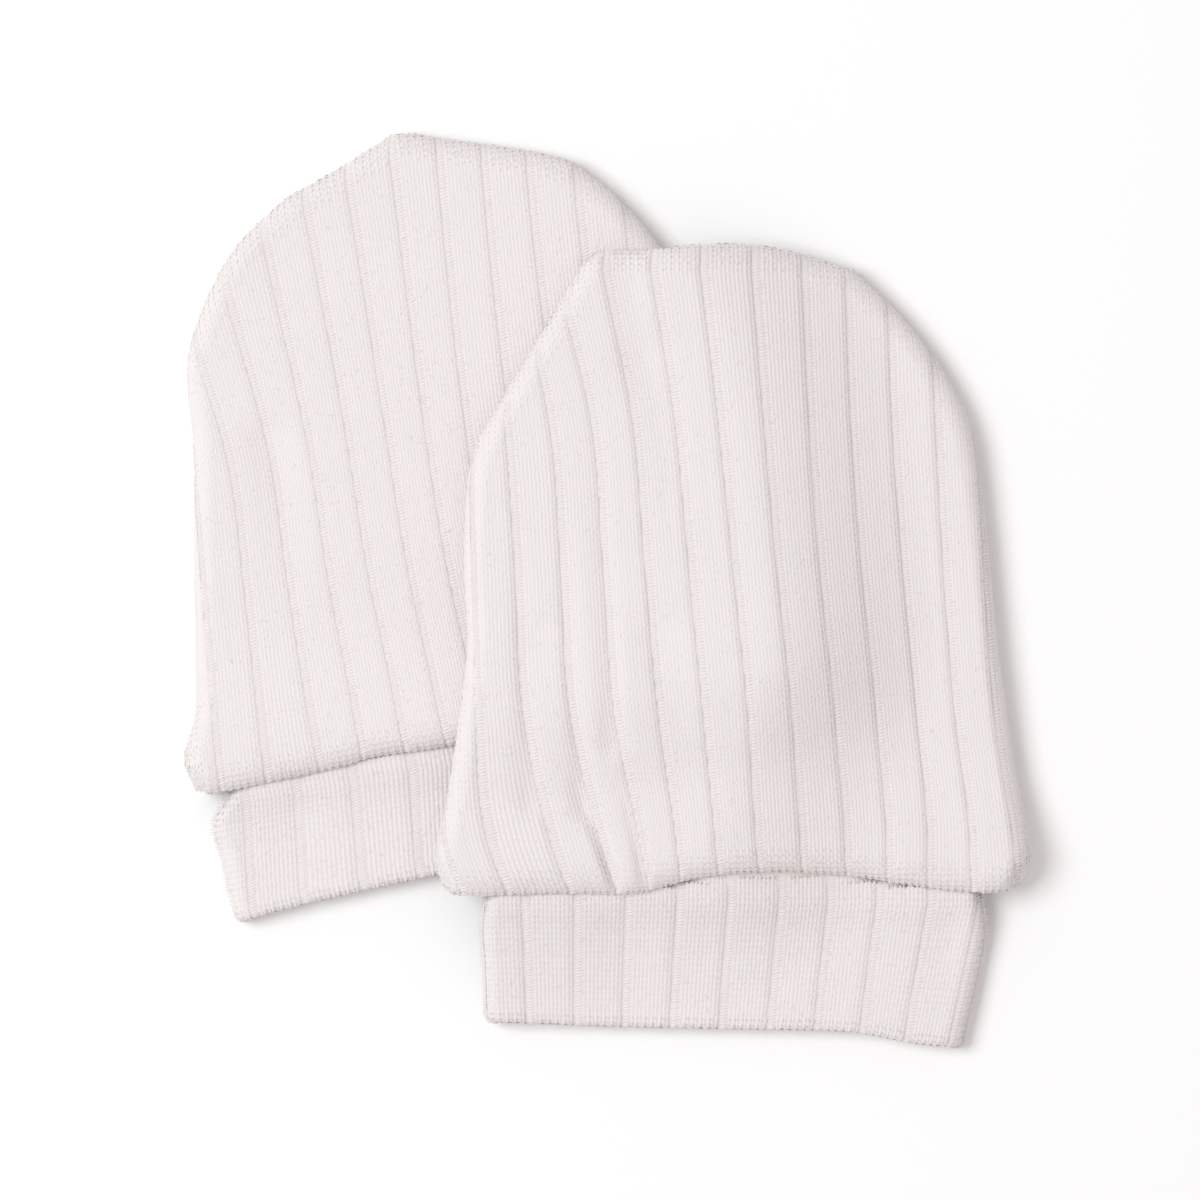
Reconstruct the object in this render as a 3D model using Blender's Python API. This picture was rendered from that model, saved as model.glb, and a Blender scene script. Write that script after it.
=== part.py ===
"""A pair of ribbed cotton baby mittens, laid flat, with the upper mitten lying across the lower one.

Each mitten is sewn from a back panel, a palm panel and a cuff band folded double. The panels meet
half way up the sides and round the tip, and the cuff goes up inside the body's hem. A mitten is
described in its own frame: across from left to right, along from the hem towards the tip, and up
from the face that it lies on. The upper mitten then drapes over the lower one, down to the floor.
"""

import math

import bpy
import numpy as np

MM = 0.001

# Cloth, seams and hem. These and all the sizes and tables below are in millimetres.
WALL = 1.3
CUFF_WALL = 1.9
CUFF_SLIT = 0.4
GAP = 0.3
CUFF_THICK = 2 * CUFF_WALL + CUFF_SLIT
CUFF_REACH = 8.5
SIDE_ROLL = 2.8
HEM_ROLL = 3.0
CORNER_ROOM = 4.2
SEAM_SHARE = 0.45
BODY_LENGTH = 86.0
BAND_END_SLOPE = 4.0
CUFF_FOLD_START = 6.0
SHARP_ANGLE = 50

# How thick the laid body is: along, thickness
BODY_THICK = (
    (0.0, 8.4),
    (4.0, 8.4),
    (8.5, 7.6),
    (13.0, 6.4),
    (30.0, 5.8),
    (60.0, 5.6),
    (88.0, 5.2),
)

# How far the cuff's lower face is above the ground: along, height
CUFF_LIFT = (
    (-22.0, 0.0),
    (-9.0, 0.0),
    (-6.0, 0.4),
    (-1.5, WALL + GAP),
    (0.5, WALL + GAP),
    (CUFF_REACH, WALL + GAP),
)

# The room that the lower mitten takes under the upper one: along, height
LOWER_REACH = (
    (-20.0, 5.2),
    (-10.0, 6.2),
    (-4.0, 8.1),
    (2.0, 9.3),
    (6.0, 9.3),
    (14.0, 8.3),
    (28.0, 7.1),
    (60.0, 6.3),
    (88.0, 5.8),
)
BRIDGE = 24.0

# Each mitten: where its hem's middle lies, its turn, and its outline as (across, along) points.
# The cuff's rows are along, left, right. A fold's row is three (across, along) points of the line
# that it follows, then its half width and its depth, which is negative for a ridge.
UPPER = {
    "place": (17.23, -40.84),
    "turn": 0.0,
    "left": (
        (-39.5, 0.7),
        (-40.5, 4.6),
        (-40.0, 8.0),
        (-38.1, 17.7),
        (-36.2, 32.6),
        (-36.6, 45.0),
        (-35.6, 58.5),
        (-30.7, 68.0),
        (-25.8, 76.2),
        (-20.4, 85.2),
    ),
    "tip": (
        (-20.4, 85.2),
        (-18.2, 86.7),
        (-12.9, 86.8),
        (-4.8, 87.6),
        (2.7, 87.6),
        (8.8, 86.5),
        (16.3, 84.3),
    ),
    "right": (
        (38.9, 0.8),
        (40.3, 4.4),
        (39.8, 8.6),
        (38.1, 17.7),
        (36.0, 32.6),
        (34.2, 50.0),
        (32.4, 62.0),
        (28.9, 69.9),
        (23.1, 77.7),
        (16.3, 84.3),
    ),
    "hem": (
        (-39.5, 0.7),
        (-37.0, -0.5),
        (-24.5, -0.2),
        (-14.0, -0.2),
        (-9.0, 0.9),
        (-3.9, 2.1),
        (4.9, 2.7),
        (15.5, 2.1),
        (22.7, 1.0),
        (31.6, -0.1),
        (36.4, -0.1),
        (38.9, 0.8),
    ),
    "cuff": (
        (CUFF_REACH, -32.4, 32.6),
        (0.0, -33.4, 33.4),
        (-4.0, -34.2, 34.0),
        (-9.0, -33.9, 32.9),
        (-14.5, -33.7, 31.2),
        (-18.0, -33.3, 30.3),
    ),
    "mouth": (
        (-33.0, -17.9),
        (-29.0, -18.0),
        (-15.1, -18.5),
        (-1.2, -18.8),
        (15.4, -19.2),
        (23.8, -20.7),
        (29.8, -21.3),
    ),
    "folds": (
        (-12.4, -1.0, -18.6, 8.0, -18.4, 20.0, 2.6, 1.5),
        (-18.4, 18.0, -18.0, 34.0, -12.9, 56.0, 3.2, 0.7),
        (-12.9, 56.0, -12.0, 68.0, -16.4, 86.0, 2.8, 0.6),
        (-24.5, 8.0, -23.6, 30.0, -25.6, 52.0, 2.4, 0.5),
        (30.5, 0.0, 27.0, 12.0, 24.5, 26.0, 3.0, 0.4),
    ),
    "cuff_folds": (
        (-14.0, 2.0, -15.0, -9.0, -16.0, -20.0, 4.5, 0.7),
        (30.5, 2.0, 28.5, -9.0, 27.0, -20.0, 2.6, 0.5),
    ),
}

LOWER = {
    "place": (-18.37, -20.91),
    "turn": 9.8,
    "left": (
        (-38.2, 0.4),
        (-39.1, 4.3),
        (-37.8, 7.6),
        (-36.3, 11.0),
        (-34.5, 22.2),
        (-32.6, 34.0),
        (-30.6, 46.0),
        (-29.6, 57.1),
        (-26.0, 64.8),
        (-20.6, 71.8),
        (-12.6, 77.4),
    ),
    "tip": (
        (-12.6, 77.4),
        (-4.7, 80.2),
        (1.2, 82.6),
        (4.5, 83.5),
        (10.6, 81.6),
        (21.2, 78.2),
        (27.0, 75.6),
    ),
    "right": (
        (39.0, 0.6),
        (40.6, 4.7),
        (41.6, 14.0),
        (42.4, 28.0),
        (42.6, 40.0),
        (41.0, 51.0),
        (36.6, 62.3),
        (31.8, 70.2),
        (27.0, 75.6),
    ),
    "hem": (
        (-38.2, 0.4),
        (-35.6, -0.5),
        (-25.3, -0.3),
        (-18.5, 0.0),
        (-13.0, 0.6),
        (-5.0, 0.3),
        (8.0, 0.0),
        (24.0, 0.2),
        (36.6, -0.3),
        (39.0, 0.6),
    ),
    "cuff": (
        (CUFF_REACH, -32.4, 32.6),
        (0.0, -32.8, 33.2),
        (-4.0, -36.5, 34.6),
        (-8.0, -36.2, 33.0),
        (-13.0, -35.9, 30.4),
        (-18.0, -35.2, 28.0),
    ),
    "mouth": (
        (-34.8, -18.4),
        (-29.3, -17.8),
        (-20.0, -17.2),
        (-7.7, -16.7),
        (8.0, -16.6),
        (27.0, -17.2),
    ),
    "folds": (
        (-20.2, 45.0, -19.6, 36.0, -21.0, 24.0, 3.0, 0.8),
        (-30.0, 52.0, -24.0, 48.0, -18.0, 44.0, 4.0, 0.5),
        (-14.0, 70.0, -4.0, 66.0, 6.0, 68.0, 4.5, 0.4),
    ),
    "cuff_folds": (
        (-24.0, 2.0, -26.0, -8.0, -29.0, -20.0, 3.5, 0.5),
    ),
}

# Colour, roughness
COTTON = ((0.835, 0.805, 0.775), 0.92)

# Grid lines over the flat part of a mitten's panels, across and along, and round its cuff
GRID = {"upper": (15, 15), "lower": (11, 11)}
CURVE_POINTS = 48
CURVE_STEPS = 12
FOLD_LINE_POINTS = 9
ROLL_ANGLES = (0, 24, 47, 69, 90)
CUFF_ACROSS = 14
CUFF_END_STEPS = 4
FOLD_STEPS = 3
CUFF_ROWS = (CUFF_REACH, 3.5, 0.0, -3.0, -7.0, -11.0, -15.0)
CUFF_INNER_ROWS = (-12.0, -5.0, 1.0)


def at(table, value, column=1):
    """Smoothly reads a table's column where its first column has this value."""
    rows = np.array(sorted(table))
    x, y = rows[:, 0], rows[:, column]
    slope = np.gradient(y, x)
    v = np.clip(value, x[0], x[-1])
    i = np.clip(np.searchsorted(x, v) - 1, 0, len(x) - 2)
    h = x[i + 1] - x[i]
    t = (v - x[i]) / h
    return (
        y[i] * (1 + 2 * t) * (1 - t) ** 2
        + y[i + 1] * t**2 * (3 - 2 * t)
        + h * t * (1 - t) * (slope[i] * (1 - t) - slope[i + 1] * t)
    )


def curve(points):
    """A smooth curve through the points, as points at even distances."""
    p = np.array(points, float)
    p = np.vstack((2 * p[0] - p[1], p, 2 * p[-1] - p[-2]))
    t = np.linspace(0, 1, CURVE_STEPS, endpoint=False)[:, None]
    pieces = []
    for a, b, c, d in zip(p, p[1:], p[2:], p[3:]):
        bend = t * ((c - a) + t * ((2 * a - 5 * b + 4 * c - d) + t * (3 * (b - c) + d - a)))
        pieces.append(b + 0.5 * bend)
    fine = np.vstack(pieces + [p[-2:-1]])
    run = np.concatenate(([0], np.cumsum(np.linalg.norm(np.diff(fine, axis=0), axis=1))))
    even = np.linspace(0, run[-1], CURVE_POINTS + 1)
    return np.column_stack([np.interp(even, run, fine[:, k]) for k in (0, 1)])


def distance(x, y, line):
    """How far each point lies from a polyline."""
    best = np.full(np.shape(x), 1e9)
    for (ax, ay), (bx, by) in zip(line, line[1:]):
        dx, dy = bx - ax, by - ay
        length_squared = max(dx * dx + dy * dy, 1e-12)
        t = np.clip(((x - ax) * dx + (y - ay) * dy) / length_squared, 0, 1)
        best = np.minimum(best, np.hypot(x - ax - t * dx, y - ay - t * dy))
    return best


def inside(x, y, ring):
    """Whether each point lies within a closed ring of points."""
    odd = np.zeros(np.shape(x), bool)
    for (ax, ay), (bx, by) in zip(ring, np.roll(ring, -1, axis=0)):
        if ay != by:
            crossing = (ay > y) != (by > y)
            odd ^= crossing & (x < ax + (y - ay) * (bx - ax) / (by - ay))
    return odd


def rounded(reach):
    """A quarter round: 0 at the edge, 1 from one reach inwards."""
    return np.sqrt(1 - (1 - np.clip(reach, 0, 1)) ** 2)


def eased(t):
    t = np.clip(t, 0, 1)
    return t * t * (3 - 2 * t)


def folds_at(rows, x, y):
    """The depth that the folds take away, as soft troughs along bent lines."""
    depth = np.zeros(np.shape(x))
    for ax, ay, bx, by, cx, cy, half_width, deep in rows:
        t = np.linspace(0, 1, FOLD_LINE_POINTS)[:, None]
        line = (1 - t) ** 2 * (ax, ay) + 2 * t * (1 - t) * (bx, by) + t**2 * (cx, cy)
        depth += deep * np.exp(-((distance(x, y, line) / half_width) ** 2))
    return depth


def placed(mitten, x, y):
    """From a mitten's own frame to the pair's."""
    a = math.radians(mitten["turn"])
    px, py = mitten["place"]
    return px + x * math.cos(a) - y * math.sin(a), py + x * math.sin(a) + y * math.cos(a)


def unplaced(mitten, x, y):
    a = math.radians(mitten["turn"])
    dx, dy = x - mitten["place"][0], y - mitten["place"][1]
    return dx * math.cos(a) + dy * math.sin(a), dy * math.cos(a) - dx * math.sin(a)


def whole_outline(mitten):
    """The mitten's outline as it lies, body and cuff together, as one ring."""
    left, right = (curve(mitten[k]) for k in ("left", "right"))
    cuff = np.array(mitten["cuff"])
    left_cuff, right_cuff = cuff[1:, [1, 0]], cuff[1:, [2, 0]]
    tip = curve(mitten["tip"])
    mouth = curve(mitten["mouth"])
    return np.vstack(
        (mouth[::-1], left_cuff[::-1], left, tip, right[::-1], right_cuff)
    )


def taut(ring):
    """The convex ring round these points, the way that cloth bridges a hollow."""
    points = sorted(map(tuple, ring))
    sides = []
    for line in (points, points[::-1]):
        side = []
        for p in line:
            while len(side) > 1:
                (ax, ay), (bx, by) = side[-2:]
                if (bx - ax) * (p[1] - ay) > (by - ay) * (p[0] - ax):
                    break
                side.pop()
            side.append(p)
        sides += side[:-1]
    return np.array(sides)


def ground(mitten, x, y):
    """The height that the mitten lies at, above the floor, in its own frame."""
    if mitten is LOWER:
        return np.zeros(np.shape(x))
    u, v = unplaced(LOWER, *placed(mitten, x, y))
    ring = taut(whole_outline(LOWER))
    out = np.where(inside(u, v, ring), 0, distance(u, v, np.vstack((ring, ring[:1]))))
    return at(LOWER_REACH, v) * (1 - eased(out / BRIDGE))


def over_cuff(mitten, x):
    """1 over the cuff's flat width at the hem, rounding to 0 just outside its ends."""
    left, right = at(mitten["cuff"], 0, 1), at(mitten["cuff"], 0, 2)
    reach = np.minimum(x - left, right - x) + CORNER_ROOM
    return 1 - (1 - rounded(reach / (CUFF_THICK / 2 + CORNER_ROOM))) ** 2


def plan(mitten, across, along):
    """A panel's grid seen from above: each point's place across and along.

    The grid runs from side to side and from hem to tip, between the four curves of the outline.
    It is closer where the edges round over.
    """
    roll = SIDE_ROLL * (1 - np.cos(np.radians(ROLL_ANGLES)))
    left, right, hem, tip = (curve(mitten[k]) for k in ("left", "right", "hem", "tip"))

    def spaced(length, count):
        ends = roll / length
        return np.concatenate((ends[:-1], np.linspace(ends[-1], 1 - ends[-1], count), 1 - ends[-2::-1]))

    def along_curve(line, t):
        steps = np.linspace(0, 1, len(line))
        return np.column_stack([np.interp(t, steps, line[:, k]) for k in (0, 1)])

    rows = spaced(BODY_LENGTH, along)
    grid = []
    for t, a, b in zip(rows, along_curve(left, rows), along_curve(right, rows)):
        s = spaced(np.hypot(*(b - a)), across)[:, None]
        low, high = along_curve(hem, s[:, 0]), along_curve(tip, s[:, 0])
        corners = (1 - t) * ((1 - s) * hem[0] + s * hem[-1]) + t * ((1 - s) * tip[0] + s * tip[-1])
        grid.append((1 - t) * low + t * high + (1 - s) * a + s * b - corners)
    return np.array(grid)


def body_heights(mitten, x, y, back):
    """The height of a panel's outer face over the ground that the mitten lies on."""
    side = np.vstack([curve(mitten["left"]), curve(mitten["tip"]), curve(mitten["right"])[::-1]])
    sides = rounded(distance(x, y, side) / SIDE_ROLL)
    hems = rounded(distance(x, y, curve(mitten["hem"])) / HEM_ROLL)
    thick = at(BODY_THICK, y)
    seam = SEAM_SHARE * thick
    if not back:
        return (seam - GAP / 2) * np.maximum(1 - sides, (1 - hems) * (1 - over_cuff(mitten, x)))
    low = seam + GAP / 2
    over_band = CUFF_THICK + WALL + 2 * GAP
    band_ends = eased((y - CUFF_REACH - GAP) / BAND_END_SLOPE)
    least = 2 * WALL + GAP + (over_band - GAP) * (1 - band_ends)
    fold = np.minimum(folds_at(mitten["folds"], x, y), np.maximum(thick - least, 0))
    top = low + (thick - fold * sides * hems - low) * sides
    lip = low + (over_band - low) * over_cuff(mitten, x)
    return np.where(top > lip, lip + (top - lip) * hems, top)


def normals(grid):
    """Unit normals of a grid of points, whose rows run along and columns across."""
    n = np.cross(np.gradient(grid, axis=1), np.gradient(grid, axis=0))
    return n / np.linalg.norm(n, axis=2, keepdims=True)


def grid_faces(rows, columns, start=0, flip=False):
    faces = []
    for i in range(rows - 1):
        for j in range(columns - 1):
            a = start + i * columns + j
            face = (a, a + 1, a + columns + 1, a + columns)
            faces.append(face[::-1] if flip else face)
    return faces


def rim(rows, columns):
    """The grid's outer points in order, anticlockwise as its faces are."""
    bottom = list(range(columns))
    right = [i * columns + columns - 1 for i in range(1, rows)]
    top = [(rows - 1) * columns + j for j in range(columns - 2, -1, -1)]
    left = [i * columns for i in range(rows - 2, 0, -1)]
    return bottom + right + top + left


def add_object(name, points, faces, material, parent, collection):
    mesh = bpy.data.meshes.new(name)
    mesh.from_pydata([tuple(p) for p in np.asarray(points) * MM], [], faces)
    mesh.shade_smooth()
    mesh.set_sharp_from_angle(angle=math.radians(SHARP_ANGLE))
    mesh.materials.append(material)
    made = bpy.data.objects.new(name, mesh)
    made.parent = parent
    collection.objects.link(made)
    return made


def panel(name, mitten, grid_size, back, material, parent, collection):
    """A panel: its outer face over the plan, its inner face one wall in, and a rim between them."""
    flat = plan(mitten, *grid_size)
    x, y = flat[..., 0], flat[..., 1]
    outer = np.dstack((x, y, body_heights(mitten, x, y, back)))
    facing = normals(outer) * (1 if back else -1)
    for edge in (np.s_[:, 0], np.s_[:, -1], np.s_[-1, :], np.s_[0, :]):
        facing[edge][..., 2] = 0
    if not back:
        flat_hem = over_cuff(mitten, x[0])
        facing[0, :, :2] *= (1 - flat_hem)[:, None] ** 2
        facing[0, :, 2] = -flat_hem
    facing /= np.linalg.norm(facing, axis=2, keepdims=True)
    inner = outer - WALL * facing
    rows, columns = x.shape
    points = np.vstack((outer.reshape(-1, 3), inner.reshape(-1, 3)))
    points[:, 2] += ground(mitten, points[:, 0], points[:, 1])
    count = rows * columns
    faces = grid_faces(rows, columns, 0, not back) + grid_faces(rows, columns, count, back)
    edge = rim(rows, columns)
    for a, b in zip(edge, edge[1:] + edge[:1]):
        side = (a, a + count, b + count, b)
        faces.append(side if back else side[::-1])
    return add_object(name, points, faces, material, parent, collection)


def cuff_ring(mitten, along, depth, reach=0.0):
    """A ring round the cuff, this deep in its wall, at a row along it and a reach past the row."""
    left, right = at(mitten["cuff"], along, 1), at(mitten["cuff"], along, 2)
    half = CUFF_THICK / 2
    end = half - depth
    middle = np.linspace(left + half, right - half, CUFF_ACROSS + 1)
    turn = np.linspace(-90, 90, CUFF_END_STEPS * 2 + 1)[1:-1]
    sides = [(right - half + end * math.cos(math.radians(a)), end * math.sin(math.radians(a))) for a in turn]
    others = [(left + half - end * math.cos(math.radians(a)), end * math.sin(math.radians(a))) for a in turn]
    bottom = [(x, -end) for x in middle]
    top = [(x, end) for x in middle[::-1]]
    x, z = np.array(bottom + sides + top + others[::-1]).T
    mouth = curve(mitten["mouth"])
    share = np.clip((along - CUFF_ROWS[2]) / (CUFF_ROWS[-1] - CUFF_ROWS[2]), 0, 1)
    level = np.interp(x, mouth[:, 0], mouth[:, 1]) - CUFF_ROWS[-1] + CUFF_WALL / 2
    y = along + share * level - reach
    z = z + half + np.maximum(at(CUFF_LIFT, y), 0)
    depth_of_folds = np.where(z > half, folds_at(mitten["cuff_folds"], x, y), 0)
    z = z - depth_of_folds * eased(-y / CUFF_FOLD_START)
    return np.column_stack((x, y, z + ground(mitten, x, y)))


def cuff(name, mitten, material, parent, collection):
    """The cuff: a flattened ring with a wall, open at both ends and rounded at its fold."""
    rings = [cuff_ring(mitten, along, 0.0) for along in CUFF_ROWS]
    radius = CUFF_WALL / 2
    for step in range(1, FOLD_STEPS):
        a = math.pi * step / FOLD_STEPS
        rings.append(
            cuff_ring(mitten, CUFF_ROWS[-1], radius * (1 - math.cos(a)), radius * math.sin(a))
        )
    rings.append(cuff_ring(mitten, CUFF_ROWS[-1], CUFF_WALL))
    rings += [cuff_ring(mitten, along, CUFF_WALL) for along in CUFF_INNER_ROWS]
    rings.append(cuff_ring(mitten, CUFF_ROWS[0], CUFF_WALL))
    size, count = len(rings[0]), len(rings)
    faces = []
    for i in range(count):
        for j in range(size):
            a, b = i * size + j, i * size + (j + 1) % size
            c, d = (i + 1) % count * size + (j + 1) % size, (i + 1) % count * size + j
            faces.append((a, b, c, d))
    return add_object(name, np.vstack(rings), faces, material, parent, collection)


def cotton(name):
    made = bpy.data.materials.new(name)
    made.use_nodes = True
    shader = made.node_tree.nodes["Principled BSDF"]
    colour, roughness = COTTON
    shader.inputs["Base Color"].default_value = (*colour, 1)
    shader.inputs["Roughness"].default_value = roughness
    shader.inputs["Metallic"].default_value = 0
    return made


def main():
    for old in list(bpy.data.objects):
        bpy.data.objects.remove(old, do_unlink=True)
    collection = bpy.data.collections.new("baby_mittens")
    bpy.context.scene.collection.children.link(collection)
    for side, mitten in (("lower", LOWER), ("upper", UPPER)):
        parent = bpy.data.objects.new(side + "_mitten", None)
        collection.objects.link(parent)
        parent.location = (mitten["place"][0] * MM, mitten["place"][1] * MM, 0)
        parent.rotation_euler = (0, 0, math.radians(mitten["turn"]))
        for piece, back in (("_palm", False), ("_back", True)):
            material = cotton(side + piece + "_cotton")
            panel(side + piece, mitten, GRID[side], back, material, parent, collection)
        cuff(side + "_cuff", mitten, cotton(side + "_cuff_cotton"), parent, collection)


main()
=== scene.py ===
# %% [markdown]
# # A pair of ribbed baby mittens
#
# Two thumbless cotton mittens lie flat, one across the other. Each is sewn from a back panel, a
# palm panel and a cuff that is folded double. The CAD model gives the solids, and this lesson makes
# what the eye sees: cloth with ribs, then the knitted stitches on it, one by one.
#
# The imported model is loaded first. It is a fixed frame that every piece rides on.

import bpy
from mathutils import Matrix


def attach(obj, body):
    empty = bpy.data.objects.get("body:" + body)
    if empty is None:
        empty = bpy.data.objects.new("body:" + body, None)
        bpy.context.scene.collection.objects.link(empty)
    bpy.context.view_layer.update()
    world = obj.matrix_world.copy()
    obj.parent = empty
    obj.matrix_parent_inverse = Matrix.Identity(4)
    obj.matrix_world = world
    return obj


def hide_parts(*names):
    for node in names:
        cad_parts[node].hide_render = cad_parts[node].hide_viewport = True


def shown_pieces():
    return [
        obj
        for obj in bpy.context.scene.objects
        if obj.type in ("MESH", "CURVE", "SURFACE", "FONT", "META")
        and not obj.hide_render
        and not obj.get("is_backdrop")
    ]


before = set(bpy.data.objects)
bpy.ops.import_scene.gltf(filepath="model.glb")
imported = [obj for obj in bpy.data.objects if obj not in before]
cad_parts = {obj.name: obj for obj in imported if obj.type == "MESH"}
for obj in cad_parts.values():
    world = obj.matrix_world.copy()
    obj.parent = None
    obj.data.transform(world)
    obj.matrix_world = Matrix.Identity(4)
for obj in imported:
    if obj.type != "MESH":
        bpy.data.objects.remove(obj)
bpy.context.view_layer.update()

import math

import bpy
import numpy as np

MM = 0.001
print("CAD nodes:", ", ".join(sorted(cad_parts)))

# %% [markdown]
# ## Sizes of the mittens
#
# A mitten is described in its own frame: across from left to right, along from the hem towards the
# tip, and up. All sizes are in millimetres. The outlines, thicknesses and heights are the same that
# the solids were made from, so the cloth lands on them without fitting. Ribs and the finest folds
# are only added here.

# %% Cloth sizes
WALL = 1.3
CUFF_WALL = 1.9
CUFF_SLIT = 0.4
GAP = 0.3
CUFF_THICK = 2 * CUFF_WALL + CUFF_SLIT
CUFF_REACH = 8.5
SIDE_ROLL = 2.8
HEM_ROLL = 3.0
CORNER_ROOM = 4.2
SEAM_SHARE = 0.45
BODY_LENGTH = 86.0
BAND_END_SLOPE = 4.0
CUFF_FOLD_START = 6.0
BAND_GIVES = 1.1
FOLD_EDGE = -15.0

# along, thickness of the laid body
BODY_THICK = ((0.0, 8.4), (4.0, 8.4), (8.5, 7.6), (13.0, 6.4), (30.0, 5.8), (60.0, 5.6), (88.0, 5.2))
# along, height of the cuff's lower face over the ground
CUFF_LIFT = ((-22.0, 0.0), (-9.0, 0.0), (-6.0, 0.4), (-1.5, 1.6), (0.5, 1.6), (8.5, 1.6))
# along, room that the lower mitten takes under the upper one
LOWER_REACH = (
    (-20.0, 5.2), (-10.0, 6.2), (-4.0, 8.1), (2.0, 9.3), (6.0, 9.3),
    (14.0, 8.3), (28.0, 7.1), (60.0, 6.3), (88.0, 5.8),
)
# how far out the upper mitten comes down beside the lower one
BRIDGE = 24.0
print("The doubled cuff is", CUFF_THICK, "mm thick")

# %% [markdown]
# ## Outlines
#
# Each mitten has four curves (left, tip, right and hem), the rows of its cuff (along, left, right),
# the line of the cuff's mouth, and its folds. Its rib_depth says how deep its ribs stand: the lower
# one's are pressed flatter. A fold's row is three (across, along) points of the line that it
# follows, then its half width and its depth.

# %% The upper mitten
UPPER = {
    "place": (17.23, -40.84),
    "turn": 0.0,
    "rib_depth": 0.75,
    "left": (
        (-39.5, 0.7), (-40.5, 4.6), (-40.0, 8.0), (-38.1, 17.7), (-36.2, 32.6),
        (-36.6, 45.0), (-35.6, 58.5), (-30.7, 68.0), (-25.8, 76.2), (-20.4, 85.2),
    ),
    "tip": (
        (-20.4, 85.2), (-18.2, 86.7), (-12.9, 86.8), (-4.8, 87.6), (2.7, 87.6), (8.8, 86.5),
        (16.3, 84.3),
    ),
    "right": (
        (38.9, 0.8), (40.3, 4.4), (39.8, 8.6), (38.1, 17.7), (36.0, 32.6),
        (34.2, 50.0), (32.4, 62.0), (28.9, 69.9), (23.1, 77.7), (16.3, 84.3),
    ),
    "hem": (
        (-39.5, 0.7), (-37.0, -0.5), (-24.5, -0.2), (-14.0, -0.2), (-9.0, 0.9), (-3.9, 2.1),
        (4.9, 2.7), (15.5, 2.1), (22.7, 1.0), (31.6, -0.1), (36.4, -0.1), (38.9, 0.8),
    ),
    "cuff": (
        (8.5, -32.4, 32.6), (0.0, -33.4, 33.4), (-4.0, -34.2, 34.0),
        (-9.0, -33.9, 32.9), (-14.5, -33.7, 31.2), (-18.0, -33.3, 30.3),
    ),
    "mouth": (
        (-33.0, -17.9), (-29.0, -18.0), (-15.1, -18.5), (-1.2, -18.8), (15.4, -19.2), (23.8, -20.7),
        (29.8, -21.3),
    ),
    "folds": (
        (-15.4, -2.0, -17.0, 5.0, -21.4, 14.0, 1.0, 1.5),
        (-11.8, -2.0, -12.6, 5.0, -15.6, 15.0, 0.9, 0.8),
        (-20.6, 11.0, -22.2, 28.0, -23.4, 50.0, 1.6, 0.6),
        (-27.6, 12.0, -28.8, 26.0, -29.6, 46.0, 1.6, 0.5),
        (-16.6, 20.0, -17.6, 40.0, -19.6, 66.0, 1.7, 0.6),
        (-10.4, 34.0, -7.5, 24.0, -8.0, 12.0, 3.4, 0.6),
        (-12.0, 72.0, -8.0, 62.0, -8.6, 50.0, 3.2, 0.6),
        (-15.5, 88.0, -13.5, 80.0, -13.0, 70.0, 2.6, 0.7),
        (-26.5, 34.0, -27.0, 27.0, -25.5, 18.0, 2.8, 0.5),
        (30.5, 0.0, 27.0, 12.0, 24.5, 28.0, 3.2, 0.5),
    ),
    "cuff_folds": (
        (-14.0, 2.0, -15.0, -9.0, -16.0, -20.0, 4.5, 0.7),
        (30.5, 2.0, 28.5, -9.0, 27.0, -20.0, 2.6, 0.5),
    ),
}

# %% The lower mitten
LOWER = {
    "place": (-18.37, -20.91),
    "turn": 9.8,
    "rib_depth": 0.5,
    "left": (
        (-38.2, 0.4), (-39.1, 4.3), (-37.8, 7.6), (-36.3, 11.0), (-34.5, 22.2), (-32.6, 34.0),
        (-30.6, 46.0), (-29.6, 57.1), (-26.0, 64.8), (-20.6, 71.8), (-12.6, 77.4),
    ),
    "tip": (
        (-12.6, 77.4), (-4.7, 80.2), (1.2, 82.6), (4.5, 83.5), (10.6, 81.6), (21.2, 78.2), (27.0, 75.6),
    ),
    "right": (
        (39.0, 0.6), (40.6, 4.7), (41.6, 14.0), (42.4, 28.0), (42.6, 40.0), (41.0, 51.0),
        (36.6, 62.3), (31.8, 70.2), (27.0, 75.6),
    ),
    "hem": (
        (-38.2, 0.4), (-35.6, -0.5), (-25.3, -0.3), (-18.5, 0.0), (-13.0, 0.6), (-5.0, 0.3),
        (8.0, 0.0), (24.0, 0.2), (36.6, -0.3), (39.0, 0.6),
    ),
    "cuff": (
        (8.5, -32.4, 32.6), (0.0, -32.8, 33.2), (-4.0, -36.5, 34.6),
        (-8.0, -36.2, 33.0), (-13.0, -35.9, 30.4), (-18.0, -35.2, 28.0),
    ),
    "mouth": (
        (-34.8, -18.4), (-29.3, -17.8), (-20.0, -17.2), (-7.7, -16.7), (8.0, -16.6), (27.0, -17.2),
    ),
    "folds": (
        (-20.2, 45.0, -19.6, 36.0, -21.0, 24.0, 3.0, 0.8),
        (-30.0, 52.0, -24.0, 48.0, -18.0, 44.0, 4.0, 0.5),
        (-14.0, 70.0, -4.0, 66.0, 6.0, 68.0, 4.5, 0.4),
    ),
    "cuff_folds": ((-24.0, 2.0, -26.0, -8.0, -29.0, -20.0, 3.5, 0.5),),
}
print("Upper mitten:", len(UPPER["folds"]), "folds; lower mitten:", len(LOWER["folds"]))

# %% [markdown]
# ## Ribs
#
# The cloth is a wide rib: five columns of stitches, called wales, then a narrow ladder where a
# needle was left out, then five wales again. The ladder is a groove, so the cloth looks ribbed. A
# rib's number grows from left to right, and whole numbers are the grooves. The tables say how far
# across some of the grooves lie at some levels along. Everything between is read from them.

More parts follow.
